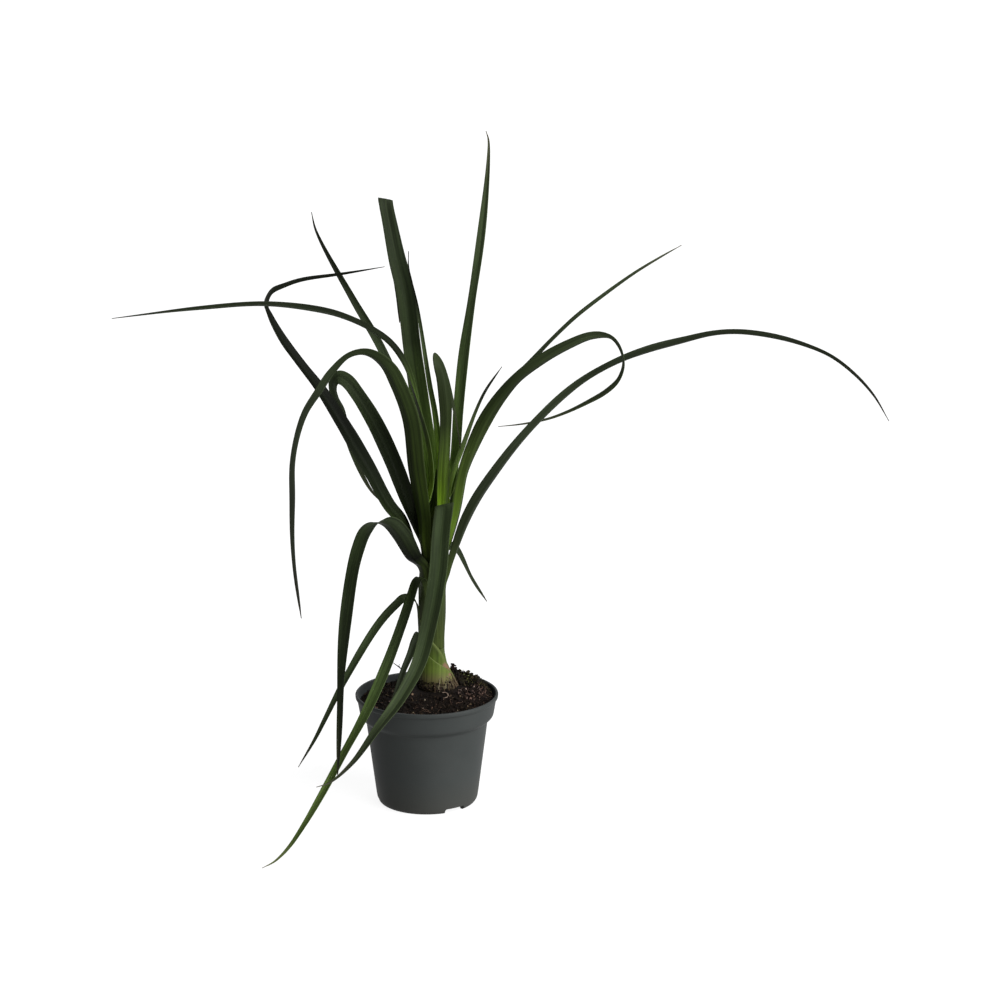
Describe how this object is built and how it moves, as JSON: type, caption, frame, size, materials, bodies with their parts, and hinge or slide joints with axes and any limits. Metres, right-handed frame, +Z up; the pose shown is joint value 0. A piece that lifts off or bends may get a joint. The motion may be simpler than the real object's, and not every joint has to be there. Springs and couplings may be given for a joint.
{
  "type": "potted ponytail palm",
  "caption": "Young ponytail palm in a tapered plastic nursery pot: long narrow arching leaves on a slim stem with a swollen base, standing in peat soil.",
  "frame": {"origin": "middle of the pot's base, on the surface that the pot stands on", "axes": "+Z up, +X to the right as pictured, -Y towards the viewer"},
  "size_m": [0.6368, 0.2449, 0.5592],
  "materials": {
    "plastic": "grey-green, slightly rough moulded plastic",
    "peat": "moist, crumbly, dark brown peat soil",
    "bark": "smooth green stem with papery tan patches at its swollen base",
    "leaf": "satin green leaf with fine lengthwise veins"
  },
  "bodies": {
    "root": {"pot": "plastic", "soil": "peat", "trunk": "bark", "leaf_short_low": "leaf", "leaf_low_left": "leaf", "leaf_floor": "leaf", "leaf_front": "leaf", "leaf_long_right": "leaf", "leaf_arched": "leaf", "leaf_hanging_right": "leaf", "leaf_returning": "leaf", "leaf_looped": "leaf", "leaf_upper_right": "leaf", "leaf_broad_left": "leaf", "leaf_inner_left": "leaf", "leaf_upper_left": "leaf", "leaf_short_right": "leaf", "leaf_long_left": "leaf", "leaf_centre": "leaf", "leaf_upright": "leaf", "leaf_tallest": "leaf", "leaf_slender": "leaf"}
  },
  "joints": []
}
